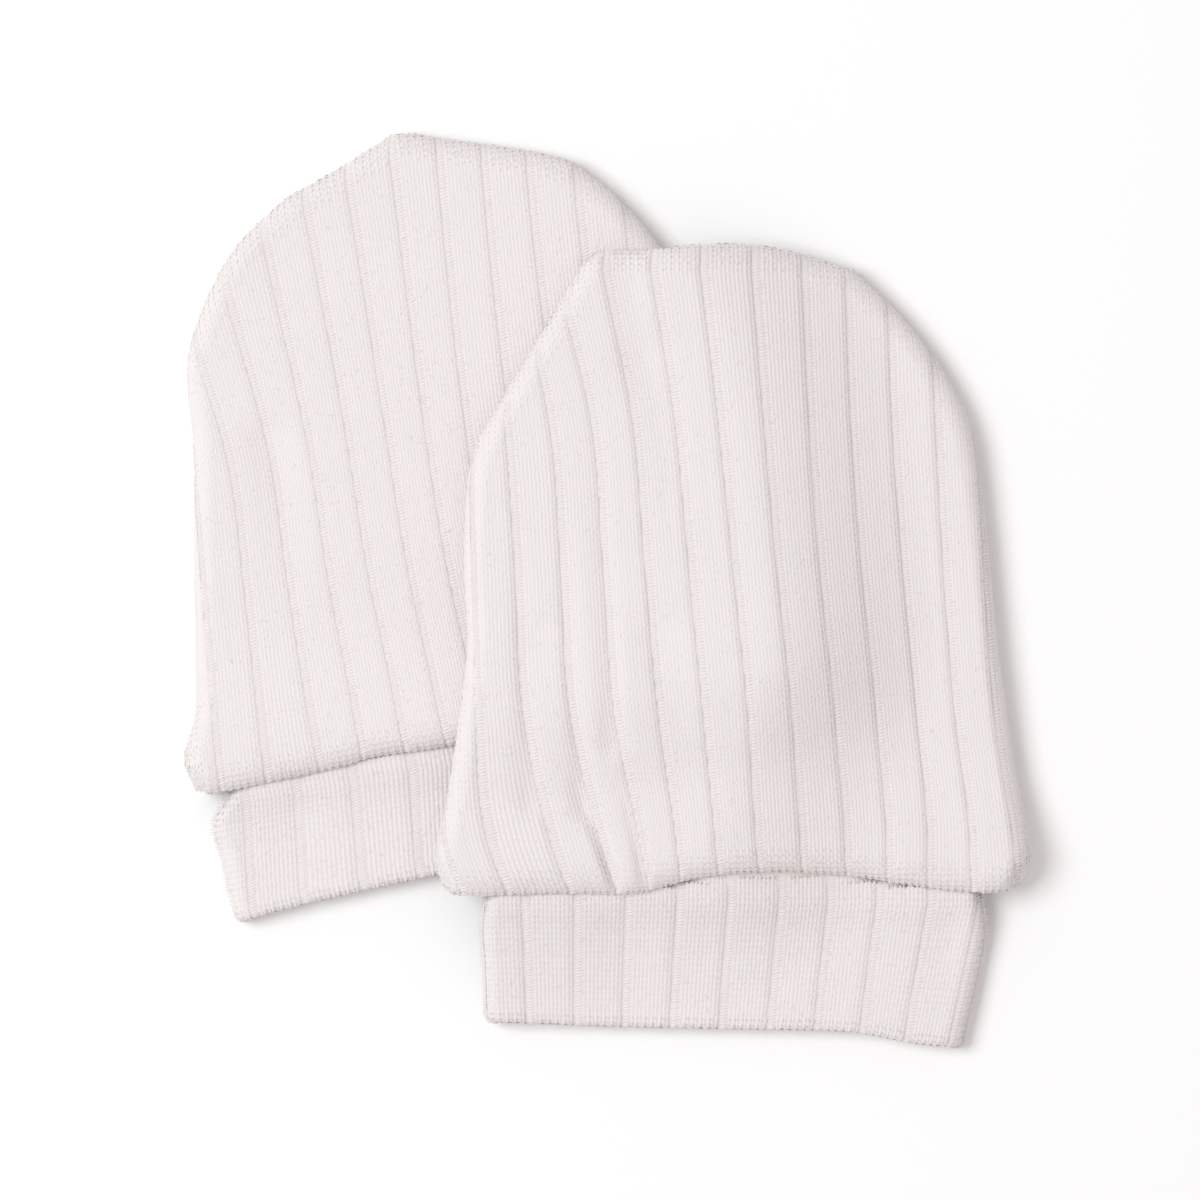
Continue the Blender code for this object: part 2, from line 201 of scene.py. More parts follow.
# %% Where the ribs run
# columns: along, then across at each groove named in the first row
UPPER_RIBS = (
    (None, -2, 0, 1, 2, 4, 6, 8, 10, 12, 14),
    (0.0, -42.5, -31.1, -22.6, -16.2, -7.3, 3.3, 15.0, 26.0, 38.2, 50.0),
    (7.0, -45.5, -33.5, -25.0, -18.3, -8.0, 2.8, 14.9, 26.2, 37.7, 49.5),
    (24.0, -47.5, -35.1, -28.6, -22.3, -10.4, 1.7, 13.5, 24.7, 35.3, 47.0),
    (44.0, -48.0, -36.0, -29.8, -23.6, -12.2, -0.3, 11.4, 22.8, 34.0, 45.5),
    (64.0, -48.8, -36.8, -31.2, -25.2, -13.9, -2.3, 10.0, 21.4, 33.2, 44.8),
    (84.0, -49.5, -37.4, -33.5, -30.1, -17.9, -4.7, 9.1, 20.7, 32.3, 44.0),
)
LOWER_RIBS = (
    (None, -2, 0, 1, 2, 4, 6, 8, 10, 12),
    (0.0, -40.8, -28.6, -21.2, -15.2, -3.6, 7.4, 18.5, 31.0, 43.0),
    (10.0, -40.2, -28.0, -21.3, -15.2, -4.0, 6.8, 18.5, 31.0, 43.0),
    (24.0, -39.4, -27.1, -21.1, -15.5, -4.6, 6.2, 18.6, 31.0, 43.2),
    (44.0, -38.6, -26.3, -20.6, -15.2, -4.4, 6.4, 18.9, 31.5, 43.8),
    (66.0, -41.5, -29.4, -22.8, -16.2, -4.1, 7.7, 19.8, 32.5, 45.0),
    (84.0, -44.0, -31.5, -24.5, -17.2, -4.0, 9.1, 21.2, 34.0, 47.0),
)
UPPER_CUFF_RIBS = (
    (None, -2, 0, 1, 3, 5, 7, 9, 11),
    (-18.5, -42.5, -28.2, -21.8, -9.0, 4.1, 16.6, 28.2, 41.0),
    (-1.4, -42.8, -28.9, -21.8, -7.9, 6.0, 19.3, 33.2, 46.0),
)
LOWER_CUFF_RIBS = (
    (None, -2, 0, 1, 2, 4, 6, 8, 10),
    (-14.0, -40.5, -26.6, -18.4, -10.5, 3.5, 17.0, 29.0, 42.0),
    (-2.5, -39.0, -25.1, -17.3, -9.2, 6.5, 21.5, 36.0, 50.0),
)
LADDER_SHARE = 0.18
WALES = 5
COURSE = 0.88
CUFF_COURSE = 0.7

# share of the way across from one groove to the next, height of the cloth there
RIB_PROFILE = (
    (0.00, -0.32), (0.03, -0.24), (0.09, -0.12), (0.17, -0.05), (0.30, 0.01),
    (0.60, 0.05), (0.88, 0.00), (0.96, -0.10), (1.00, -0.32),
)
print("A rib is", WALES, "wales and a ladder; courses are", COURSE, "mm apart")

# %% [markdown]
# ## Reading tables and curves
#
# A smooth reading of a table avoids the kinks that straight lines between its rows would leave in
# the cloth. The same few helpers measure distances from an outline and round an edge over.

# %% Helpers for tables and curves
CURVE_POINTS = 48
CURVE_STEPS = 12
FOLD_LINE_POINTS = 9
FOLD_FADES = 0.9


def read(knots, values, t):
    """Smoothly reads values, whose first axis follows the knots, at each t."""
    x, t = np.array(knots, float), np.clip(np.asarray(t, float), knots[0], knots[-1])
    y = np.asarray(values, float)
    y = np.broadcast_to(y.reshape(y.shape + (1,) * (t.ndim + 1 - y.ndim)), (len(x),) + t.shape)
    slope = np.gradient(y, x, axis=0)
    i = np.clip(np.searchsorted(x, t) - 1, 0, len(x) - 2)
    h = x[i + 1] - x[i]
    s = (t - x[i]) / h
    y0, y1, m0, m1 = (np.take_along_axis(a, k[None], axis=0)[0] for a in (y, slope) for k in (i, i + 1))
    return (
        y0 * (1 + 2 * s) * (1 - s) ** 2
        + y1 * s**2 * (3 - 2 * s)
        + h * s * (1 - s) * (m0 * (1 - s) - m1 * s)
    )


def at(table, value, column=1):
    """Smoothly reads a table's column where its first column has this value."""
    rows = np.array(sorted(table))
    return read(rows[:, 0], rows[:, column], value)


def curve(points):
    """A smooth curve through the points, as points at even distances."""
    p = np.array(points, float)
    p = np.vstack((2 * p[0] - p[1], p, 2 * p[-1] - p[-2]))
    t = np.linspace(0, 1, CURVE_STEPS, endpoint=False)[:, None]
    pieces = []
    for a, b, c, d in zip(p, p[1:], p[2:], p[3:]):
        bend = t * ((c - a) + t * ((2 * a - 5 * b + 4 * c - d) + t * (3 * (b - c) + d - a)))
        pieces.append(b + 0.5 * bend)
    fine = np.vstack(pieces + [p[-2:-1]])
    run = np.concatenate(([0], np.cumsum(np.linalg.norm(np.diff(fine, axis=0), axis=1))))
    even = np.linspace(0, run[-1], CURVE_POINTS + 1)
    return np.column_stack([np.interp(even, run, fine[:, k]) for k in (0, 1)])


def nearest(x, y, line):
    """How far each point lies from a polyline, and the nearest point on it."""
    best = np.full(np.shape(x), 1e9)
    foot_x, foot_y = np.zeros(np.shape(x)), np.zeros(np.shape(x))
    for (ax, ay), (bx, by) in zip(line, line[1:]):
        dx, dy = bx - ax, by - ay
        length_squared = max(dx * dx + dy * dy, 1e-12)
        t = np.clip(((x - ax) * dx + (y - ay) * dy) / length_squared, 0, 1)
        fx, fy = ax + t * dx, ay + t * dy
        away = np.hypot(x - fx, y - fy)
        closer = away < best
        best = np.where(closer, away, best)
        foot_x, foot_y = np.where(closer, fx, foot_x), np.where(closer, fy, foot_y)
    return best, foot_x, foot_y


def distance(x, y, line):
    return nearest(x, y, line)[0]


def inside(x, y, ring):
    """Whether each point lies within a closed ring of points."""
    odd = np.zeros(np.shape(x), bool)
    for (ax, ay), (bx, by) in zip(ring, np.roll(ring, -1, axis=0)):
        if ay != by:
            crossing = (ay > y) != (by > y)
            odd ^= crossing & (x < ax + (y - ay) * (bx - ax) / (by - ay))
    return odd


def rounded(reach):
    """A quarter round: 0 at the edge, 1 from one reach inwards."""
    return np.sqrt(1 - (1 - np.clip(reach, 0, 1)) ** 2)


def eased(t):
    t = np.clip(t, 0, 1)
    return t * t * (3 - 2 * t)


def softly_least(a, b, blend=0.25):
    """The lesser of two depths, without a crease where they cross."""
    return np.maximum(-blend * np.log(np.exp(-a / blend) + np.exp(-b / blend)), 0)


def folds_at(rows, x, y):
    """The depth that the folds take away, as soft troughs along bent lines."""
    depth = np.zeros(np.shape(x))
    for ax, ay, bx, by, cx, cy, half_width, deep in rows:
        t = np.linspace(0, 1, FOLD_LINE_POINTS)[:, None]
        line = (1 - t) ** 2 * (ax, ay) + 2 * t * (1 - t) * (bx, by) + t**2 * (cx, cy)
        away, foot_x, foot_y = nearest(x, y, line)
        dx, dy = cx - ax, cy - ay
        share = ((foot_x - ax) * dx + (foot_y - ay) * dy) / (dx * dx + dy * dy)
        depth += deep * (1 - FOLD_FADES * share) * np.exp(-((away / half_width) ** 2))
    return depth


print("The body is", round(float(at(BODY_THICK, 20.0)), 2), "mm thick, 20 mm from its hem")

# %% [markdown]
# ## The laid form
#
# Cloth that lies flat has a form: full over the cuff, thin towards the tip, rounded over at its
# sides. The upper mitten also climbs over the lower one, and bridges the hollows beside it. A cloth
# simulation could find this form, but not the same one every time. Plain rules can, and they are
# the rules that the solids follow.

# %% The form of a laid mitten
RIB_HALVINGS = 16


def placed(mitten, x, y):
    """From a mitten's own frame to the pair's."""
    a = math.radians(mitten["turn"])
    px, py = mitten["place"]
    return px + x * math.cos(a) - y * math.sin(a), py + x * math.sin(a) + y * math.cos(a)


def unplaced(mitten, x, y):
    a = math.radians(mitten["turn"])
    dx, dy = x - mitten["place"][0], y - mitten["place"][1]
    return dx * math.cos(a) + dy * math.sin(a), dy * math.cos(a) - dx * math.sin(a)


def whole_outline(mitten):
    """The mitten's outline as it lies, body and cuff together, as one ring."""
    left, right = (curve(mitten[k]) for k in ("left", "right"))
    cuff = np.array(mitten["cuff"])
    left_cuff, right_cuff = cuff[1:, [1, 0]], cuff[1:, [2, 0]]
    tip, mouth = curve(mitten["tip"]), curve(mitten["mouth"])
    return np.vstack((mouth[::-1], left_cuff[::-1], left, tip, right[::-1], right_cuff))


def taut(ring):
    """The convex ring round these points, the way that cloth bridges a hollow."""
    points = sorted(map(tuple, ring))
    sides = []
    for line in (points, points[::-1]):
        side = []
        for p in line:
            while len(side) > 1:
                (ax, ay), (bx, by) = side[-2:]
                if (bx - ax) * (p[1] - ay) > (by - ay) * (p[0] - ax):
                    break
                side.pop()
            side.append(p)
        sides += side[:-1]
    return np.array(sides)


def ground(mitten, x, y):
    """The height that the mitten lies at, above the floor, in its own frame."""
    if mitten is LOWER:
        return np.zeros(np.shape(x))
    u, v = unplaced(LOWER, *placed(mitten, x, y))
    ring = taut(whole_outline(LOWER))
    out = np.where(inside(u, v, ring), 0, distance(u, v, np.vstack((ring, ring[:1]))))
    return at(LOWER_REACH, v) * (1 - eased(out / BRIDGE))


def over_cuff(mitten, x):
    """1 over the cuff's flat width at the hem, rounding to 0 just outside its ends."""
    left, right = at(mitten["cuff"], 0, 1), at(mitten["cuff"], 0, 2)
    reach = np.minimum(x - left, right - x) + CORNER_ROOM
    return 1 - (1 - rounded(reach / (CUFF_THICK / 2 + CORNER_ROOM))) ** 2


def body_heights(mitten, x, y, back):
    """The height of a panel's outer face over the ground that the mitten lies on."""
    side = np.vstack([curve(mitten["left"]), curve(mitten["tip"]), curve(mitten["right"])[::-1]])
    sides = rounded(distance(x, y, side) / SIDE_ROLL)
    hems = rounded(distance(x, y, curve(mitten["hem"])) / HEM_ROLL)
    thick = at(BODY_THICK, y)
    seam = SEAM_SHARE * thick
    if not back:
        return (seam - GAP / 2) * np.maximum(1 - sides, (1 - hems) * (1 - over_cuff(mitten, x)))
    low = seam + GAP / 2
    over_band = CUFF_THICK + WALL + 2 * GAP
    band_ends = eased((y - CUFF_REACH - GAP) / BAND_END_SLOPE)
    least = 2 * WALL + GAP + (CUFF_THICK + GAP - BAND_GIVES) * (1 - band_ends)
    fold = softly_least(folds_at(mitten["folds"], x, y), np.maximum(thick - least, 0))
    top = low + (thick - fold * sides * hems - low) * sides
    lip = low + (over_band - low) * over_cuff(mitten, x)
    return np.where(top > lip, lip + (top - lip) * hems, top)


def rib_across(ribs, rib, along):
    """How far across a rib's line lies at a level."""
    rows = sorted(ribs[1:])
    levels = [row[0] for row in rows]
    controls = np.array([read(levels, [row[k] for row in rows], along) for k in range(1, len(rows[0]))])
    return read(ribs[0][1:], controls, rib)


def rib_number(ribs, across, along):
    """The rib that passes each point, found in a few even steps."""
    low = np.full(np.shape(across), float(ribs[0][1]))
    high = np.full(np.shape(across), float(ribs[0][-1]))
    for _ in range(RIB_HALVINGS):
        middle = (low + high) / 2
        left = rib_across(ribs, middle, along) < across
        low, high = np.where(left, middle, low), np.where(left, high, middle)
    return (low + high) / 2


def relief(mitten, rib):
    """The cloth's height over its plain form, from its place between two grooves."""
    return mitten["rib_depth"] * at(RIB_PROFILE, rib - np.floor(rib))


print("Groove 4 of the upper mitten meets its hem at", round(float(rib_across(UPPER_RIBS, 4, 0.0)), 2))

# %% [markdown]
# ## Camera and light
#
# The pair is seen from straight above through a long lens, which keeps the outlines true. A large
# soft light stands to the left, a little towards the tips, and a bright room fills the shadows. The
# room is a touch warm and the light a touch cool, so that the floor, a plain pale sheet, stays white.

# %% Camera
VIEW_CENTRE = (-0.00102, -0.00136)
VIEW_WIDTH = 0.1632
LENS, SENSOR = 300.0, 36.0
VIEW_LEVEL = 0.005

scene = bpy.context.scene
camera_data = bpy.data.cameras.new("camera")
camera_data.lens, camera_data.sensor_width = LENS, SENSOR
camera_data.clip_start, camera_data.clip_end = 0.05, 20
camera = bpy.data.objects.new("camera", camera_data)
camera.location = (*VIEW_CENTRE, VIEW_LEVEL + VIEW_WIDTH * LENS / SENSOR)
scene.collection.objects.link(camera)
scene.camera = camera
scene.view_settings.view_transform = "Standard"
print("The camera is", round(camera.location.z, 3), "m above the floor")

# %% Light
KEY_FROM = (-0.78, 0.16, 1.25)
KEY_SIZE = 0.80
KEY_POWER = 12.2
ROOM_STRENGTH = 0.65

world = bpy.data.worlds.new("white room")
world.use_nodes = True
world.node_tree.nodes["Background"].inputs["Color"].default_value = (1.0, 0.955, 0.94, 1)
world.node_tree.nodes["Background"].inputs["Strength"].default_value = ROOM_STRENGTH
scene.world = world

key_data = bpy.data.lights.new("soft key", "AREA")
key_data.shape, key_data.size, key_data.energy = "DISK", KEY_SIZE, KEY_POWER
key_data.color = (0.96, 1.0, 1.02)
key = bpy.data.objects.new("soft key", key_data)
key.location = KEY_FROM
key.rotation_euler = (-key.location).to_track_quat("-Z", "Y").to_euler()
scene.collection.objects.link(key)
print("Key light", KEY_POWER, "W, room", ROOM_STRENGTH)

# %% Floor
FLOOR_SIZE = 6.0
FLOOR_DROP = 0.0001
FLOOR_COLOUR = (0.95, 0.95, 0.95)


def plain_material(name, colour, roughness):
    made = bpy.data.materials.new(name)
    made.use_nodes = True
    shader = made.node_tree.nodes["Principled BSDF"]
    shader.inputs["Base Color"].default_value = (*colour, 1)
    shader.inputs["Roughness"].default_value = roughness
    shader.inputs["Specular IOR Level"].default_value = 0.2
    return made


def add_mesh(name, points, faces, material):
    mesh = bpy.data.meshes.new(name)
    mesh.from_pydata([tuple(p) for p in points], [], faces)
    mesh.shade_smooth()
    mesh.materials.append(material)
    made = bpy.data.objects.new(name, mesh)
    scene.collection.objects.link(made)
    return made


half = FLOOR_SIZE / 2
floor = add_mesh(
    "floor",
    [(-half, -half, 0), (half, -half, 0), (half, half, 0), (-half, half, 0)],
    [(0, 1, 2, 3)],
    plain_material("pale floor", FLOOR_COLOUR, 0.9),
)
floor.location.z = -FLOOR_DROP
floor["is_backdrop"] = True
print("Floor:", FLOOR_SIZE, "m square")

# %% [markdown]
# ## Cotton
#
# The yarn is combed cotton, a warm off-white with no shine of its own, only the soft bloom of its
# nap. Sheen makes that bloom. On the cloth, colour drifts very slightly from place to place, towards
# a darker tone that is painted shade: the cloth shows only in the gaps between stitches, and there its
# darker colour stands in for the shade between yarns. A fine bump stands for the fibres. The stitches
# have one colour, set on the shader itself: there are thousands of them, and the shade between them
# gives all the variety that they need.

# %% Cotton materials
COTTON = (0.80, 0.757, 0.747)
# painted shade: the darker cloth colour shows in the gaps between stitches as shade, and is also the far
# end of the cloth's random drift in tone
GAP_SHADE_AND_DRIFT = (0.75, 0.70, 0.69)


def cotton(name, grain):
    """Matte knitted cotton. grain is how strong the fibre bump is, in millimetres."""
    made = bpy.data.materials.new(name)
    made.use_nodes = True
    nodes, links = made.node_tree.nodes, made.node_tree.links
    shader = nodes["Principled BSDF"]
    shader.inputs["Roughness"].default_value = 0.92
    shader.inputs["Specular IOR Level"].default_value = 0.15
    shader.inputs["Sheen Weight"].default_value = 0.12
    shader.inputs["Sheen Roughness"].default_value = 0.6
    place = nodes.new("ShaderNodeTexCoord")
    drift = nodes.new("ShaderNodeTexNoise")
    drift.inputs["Scale"].default_value = 60
    drift.inputs["Detail"].default_value = 3
    # the cloth's colour drifts at random towards a darker tone, which also paints shade into the gaps
    # between the stitches
    drift_and_shade = nodes.new("ShaderNodeMix")
    drift_and_shade.data_type = "RGBA"
    drift_and_shade.inputs["A"].default_value = (*GAP_SHADE_AND_DRIFT, 1)
    drift_and_shade.inputs["B"].default_value = (*COTTON, 1)
    spread = nodes.new("ShaderNodeMapRange")
    spread.inputs["From Min"].default_value = 0.2
    spread.inputs["From Max"].default_value = 0.55
    fibres = nodes.new("ShaderNodeTexNoise")
    fibres.inputs["Scale"].default_value = 4500
    fibres.inputs["Detail"].default_value = 2
    bump = nodes.new("ShaderNodeBump")
    bump.inputs["Strength"].default_value = 0.5
    bump.inputs["Distance"].default_value = grain * MM
    links.new(place.outputs["Object"], drift.inputs["Vector"])
    links.new(place.outputs["Object"], fibres.inputs["Vector"])
    links.new(drift.outputs["Fac"], spread.inputs["Value"])
    links.new(spread.outputs["Result"], drift_and_shade.inputs["Factor"])
    links.new(drift_and_shade.outputs["Result"], shader.inputs["Base Color"])
    links.new(fibres.outputs["Fac"], bump.inputs["Height"])
    links.new(bump.outputs["Normal"], shader.inputs["Normal"])
    return made


def yarn(name):
    """The yarn of the stitches: the same cotton, one colour all over."""
    made = plain_material(name, COTTON, 0.9)
    shader = made.node_tree.nodes["Principled BSDF"]
    shader.inputs["Sheen Weight"].default_value = 0.12
    shader.inputs["Sheen Roughness"].default_value = 0.6
    return made


print("Cotton colour", COTTON)

# %% [markdown]
# ## Rolled edges
#
# A panel's edges round over towards the seam. Seen from above, the knit looks squeezed there,
# although its stitches are as wide as elsewhere. So a panel is thought of unrolled, flat and a
# little wider. One helper draws a point of that flat cloth in over the rounded edge, and another
# goes back. Ribs and stitches use the same pair, so they agree.

# %% Rolled edges
UNROLL = (math.pi / 2 - 1) * SIDE_ROLL


def body_ring(mitten):
    left, tip, right, hem = (curve(mitten[k]) for k in ("left", "tip", "right", "hem"))
    ring = np.vstack((left, tip[1:], right[::-1][1:], hem[::-1][1:]))
    return ring


def drawn_in(mitten, x, y):
    """From the unrolled cloth to the plan, and how far from the seam the cloth is, edge included."""
    ring = body_ring(mitten)
    away, foot_x, foot_y = nearest(x, y, ring)
    signed = np.where(inside(x, y, ring), away, -away)
    run = signed + UNROLL
    target = SIDE_ROLL * (1 - np.cos(np.clip(run / SIDE_ROLL, 0, math.pi / 2)))
    near = run < SIDE_ROLL * math.pi / 2
    safe = np.where(np.abs(signed) < 1e-6, 1e-6, signed)
    move = np.where(near, target / safe, 1)
    return foot_x + (x - foot_x) * move, foot_y + (y - foot_y) * move, run


def unrolled(mitten, x, y):
    """The way back: from the plan to the unrolled cloth."""
    away, foot_x, foot_y = nearest(x, y, body_ring(mitten))
    run = SIDE_ROLL * np.arccos(1 - np.clip(away / SIDE_ROLL, 0, 1))
    move = np.where(away < SIDE_ROLL, (run - UNROLL) / np.maximum(away, 1e-3), 1)
    return foot_x + (x - foot_x) * move, foot_y + (y - foot_y) * move


print("A panel is thought of as", round(UNROLL, 2), "mm wider all round before its edges roll")

# %% [markdown]
# ## Panels of cloth
#
# A panel is a thin closed shell: an outer face with the ribs pressed into it, an inner face one
# wall in, and a rim between them. Solidify could add the wall, but would double a fine grid. Here
# the outer face is a fine grid that follows the outline, closer where the edges round over. The
# inner face is never seen, so it uses every fourth line.

# %% A panel's shell
COLUMNS, ROWS = 201, 137
HEM_FLAT, HEM_FADE, SIDE_FADE = 0.45, 2.5, 1.2
PALM_RIBS, CUFF_RIBS = 0.6, 0.8
ROLL_STEPS = 8
SKIP = 4


def plan(mitten, across, along):
    """A panel's grid seen from above, between the four curves of its outline."""
    roll = SIDE_ROLL * (1 - np.cos(np.linspace(0, math.pi / 2, ROLL_STEPS + 1)))
    left, right, hem, tip = (curve(mitten[k]) for k in ("left", "right", "hem", "tip"))

    def spaced(length, count):
        ends = roll / length
        middle = np.linspace(ends[-1], 1 - ends[-1], count - 2 * ROLL_STEPS)
        return np.concatenate((ends[:-1], middle, 1 - ends[-2::-1]))

    def along_curve(line, t):
        steps = np.linspace(0, 1, len(line))
        return np.column_stack([np.interp(t, steps, line[:, k]) for k in (0, 1)])

    rows = spaced(BODY_LENGTH, along)
    grid = []
    for t, a, b in zip(rows, along_curve(left, rows), along_curve(right, rows)):
        s = spaced(np.hypot(*(b - a)), across)[:, None]
        low, high = along_curve(hem, s[:, 0]), along_curve(tip, s[:, 0])
        corners = (1 - t) * ((1 - s) * hem[0] + s * hem[-1]) + t * ((1 - s) * tip[0] + s * tip[-1])
        grid.append((1 - t) * low + t * high + (1 - s) * a + s * b - corners)
    return np.array(grid)


def normals(grid):
    n = np.cross(np.gradient(grid, axis=1), np.gradient(grid, axis=0))
    return n / np.linalg.norm(n, axis=2, keepdims=True)


def edge_share(mitten, x, y):
    """How much of the ribs is left: less at the hem, and nothing at the seam."""
    side = np.vstack([curve(mitten["left"]), curve(mitten["tip"]), curve(mitten["right"])[::-1]])
    hem = HEM_FLAT + (1 - HEM_FLAT) * eased(distance(x, y, curve(mitten["hem"])) / HEM_FADE)
    return eased(distance(x, y, side) / SIDE_FADE) * hem


def panel(name, mitten, ribs, back, material):
    flat = plan(mitten, COLUMNS, ROWS)
    x, y = flat[..., 0], flat[..., 1]
    plain = np.dstack((x, y, body_heights(mitten, x, y, back)))
    rib = rib_number(ribs, *unrolled(mitten, x, y))
    facing = normals(plain) * (1 if back else -1)
    press = relief(mitten, rib) * edge_share(mitten, x, y)
    if not back:
        press = np.minimum(press, 0) * PALM_RIBS
    outer = plain + facing * press[..., None]
    inward = facing.copy()
    for edge in (np.s_[:, 0], np.s_[:, -1], np.s_[-1, :], np.s_[0, :]):
        inward[edge][..., 2] = 0
    if not back:
        flat_hem = over_cuff(mitten, x[0])
        inward[0, :, :2] *= (1 - flat_hem)[:, None] ** 2
        inward[0, :, 2] = -flat_hem
    for i, j in ((0, 0), (0, -1), (-1, 0), (-1, -1)):
        beside_i, beside_j = (ROLL_STEPS if k == 0 else -1 - ROLL_STEPS for k in (i, j))
        inward[i, j] = inward[beside_i, j] + inward[i, beside_j]
    inward /= np.linalg.norm(inward, axis=2, keepdims=True)
    picks = [sorted(set(range(0, n, SKIP)) | {n - 1}) for n in x.shape]
    inner = (plain - WALL * inward)[np.ix_(*picks)]
    rows, columns = x.shape
    for layer in (outer, inner):
        layer[..., 2] += ground(mitten, layer[..., 0], layer[..., 1])
    count = rows * columns
    numbers = np.arange(count).reshape(rows, columns)
    inner_numbers = count + np.arange(inner.shape[0] * inner.shape[1]).reshape(inner.shape[:2])
    faces = []
    for grid, turned in ((numbers, not back), (inner_numbers, back)):
        quads = np.stack((grid[:-1, :-1], grid[:-1, 1:], grid[1:, 1:], grid[1:, :-1]), -1).reshape(-1, 4)
        faces += (quads[:, ::-1] if turned else quads).tolist()
    faces += rim(numbers, inner_numbers, picks, back)
    points = np.vstack((outer.reshape(-1, 3), inner.reshape(-1, 3)))
    px, py = placed(mitten, points[:, 0], points[:, 1])
    made = add_mesh(name, np.column_stack((px, py, points[:, 2])) * MM, faces, material)
    print(name, len(made.data.polygons), "faces")
    return made


def rim(outer, inner, picks, back):
    """Faces between the edges of the fine outer grid and of the coarse inner one."""
    faces = []
    sides = (
        (outer[0], inner[0], picks[1]),
        (outer[:, -1], inner[:, -1], picks[0]),
        (outer[-1, ::-1], inner[-1, ::-1], [len(outer[0]) - 1 - k for k in picks[1][::-1]]),
        (outer[::-1, 0], inner[::-1, 0], [len(outer) - 1 - k for k in picks[0][::-1]]),
    )
    for fine, coarse, at_fine in sides:
        for k in range(len(coarse) - 1):
            run = fine[at_fine[k] : at_fine[k + 1] + 1].tolist()
            face = run[::-1] + [int(coarse[k]), int(coarse[k + 1])]
            faces.append(face if back else face[::-1])
    return faces


pieces = {}
for side, mitten, ribs in (("lower", LOWER, LOWER_RIBS), ("upper", UPPER, UPPER_RIBS)):
    for part, back in (("palm", False), ("back", True)):
        node = f"{side}_{part}"
        pieces[node] = panel(f"{node}_cloth", mitten, ribs, back, cotton(f"{node}_cotton", 0.05))

# %% [markdown]
# ## Cuffs
#
# A cuff is a band folded double and sewn to a ring. Its ribs run on towards the mouth and turn in
# over the fold. The shell is a sleeve of rings: from inside the hem, out to the fold, and back
# inside. Rings follow a tube better than a grid of a flat panel would.

# %% The cuffs' shells
CUFF_STEP = 0.35
CUFF_END_STEPS = 12
RINGS_UNDER_HEM, RING_STEP, RINGS_ROUND_FOLD = (4.0, 1.5), 0.6, 9
RINGS_INSIDE = (3.0, 8.0, 14.0)
CUFF_FOLD_MOST = 0.9


def cuff_frame(mitten, across, along, depth, reach, top):
    """A point of the cuff from its unrolled place: across runs on round the ends of the ring."""
    left, right = at(mitten["cuff"], along, 1), at(mitten["cuff"], along, 2)
    half = CUFF_THICK / 2
    end = half - depth
    turn_left = np.clip((left + half - across) / half, 0, math.pi / 2)
    turn_right = np.clip((across - right + half) / half, 0, math.pi / 2)
    turn = np.maximum(turn_left, turn_right)
    flat = np.clip(across, left + half, right - half)
    x = flat + end * np.sin(turn) * np.where(turn_left > turn_right, -1, 1)
    z = end * np.cos(turn) * (1 if top else -1)
    mouth = curve(mitten["mouth"])
    share = np.clip(along / FOLD_EDGE, 0, 1)
    level = np.interp(x, mouth[:, 0], mouth[:, 1]) - FOLD_EDGE + CUFF_WALL / 2
    y = along + share * level - reach
    z = z + half + np.maximum(at(CUFF_LIFT, y), 0)
    middle = half + np.maximum(at(CUFF_LIFT, y), 0)
    fold = folds_at(mitten["cuff_folds"], x, y) * eased(-y / CUFF_FOLD_START)
    room = body_heights(mitten, x, y, True) - WALL - GAP
    fold = fold + np.where(y > 0.5, np.maximum(middle + half - room, 0), 0)
    z = np.where(z > middle, middle + (z - middle) * (1 - np.minimum(fold / half, CUFF_FOLD_MOST)), z)
    return np.stack((x, y, z + ground(mitten, x, y)), -1)


def round_fold(length):
    """Along, depth and reach of a point this far along the band's outer face from the hem."""
    radius = CUFF_WALL / 2
    past = np.clip((FOLD_EDGE - length) / radius, 0, math.pi)
    further = np.maximum(FOLD_EDGE - math.pi * radius - length, 0)
    along = np.maximum(length, FOLD_EDGE) + further
    return along, radius * (1 - np.cos(past)), radius * np.sin(past)


def cuff(name, mitten, ribs, material):
    half = CUFF_THICK / 2
    lengths = [CUFF_REACH, *RINGS_UNDER_HEM, *np.arange(0.8, FOLD_EDGE, -RING_STEP)]
    lengths += list(FOLD_EDGE - CUFF_WALL / 2 * np.linspace(0, math.pi, RINGS_ROUND_FOLD))
    end_length = FOLD_EDGE - math.pi * CUFF_WALL / 2
    lengths += [end_length - d for d in (*RINGS_INSIDE, -FOLD_EDGE + CUFF_REACH)]
    left, right = at(mitten["cuff"], 0.0, 1), at(mitten["cuff"], 0.0, 2)
    count = int((right - left) / CUFF_STEP)
    flat_share = np.linspace(0, 1, count)
    turn = np.linspace(0, math.pi / 2, CUFF_END_STEPS + 1)[1:]
    rings = []
    for length in lengths:
        along, depth, reach = round_fold(length)
        left, right = at(mitten["cuff"], along, 1), at(mitten["cuff"], along, 2)
        across = np.concatenate(
            (left + half - half * turn[::-1], left + half + flat_share * (right - left - 2 * half),
             right - half + half * turn)
        )
        rib = rib_number(ribs, across, np.full(across.shape, along))
        outer_share = np.clip(1 - depth / CUFF_WALL * 2, 0, 1) * eased((2 - along) / 2)
        press = relief(mitten, rib) * CUFF_RIBS * outer_share
        top = cuff_frame(mitten, across, along, depth - press, reach, True)
        bottom = cuff_frame(mitten, across, along, depth - np.minimum(press, 0), reach, False)
        rings.append(np.vstack((bottom, top[-2:0:-1])))
    size, total = len(rings[0]), len(rings)
    numbers = np.arange(size * total).reshape(total, size)
    down, over = np.roll(numbers, -1, axis=0), np.roll(numbers, -1, axis=1)
    faces = np.stack((numbers, over, np.roll(down, -1, axis=1), down), -1).reshape(-1, 4).tolist()
    points = np.vstack(rings)
    px, py = placed(mitten, points[:, 0], points[:, 1])
    made = add_mesh(name, np.column_stack((px, py, points[:, 2])) * MM, faces, material)
    print(name, len(made.data.polygons), "faces")
    return made


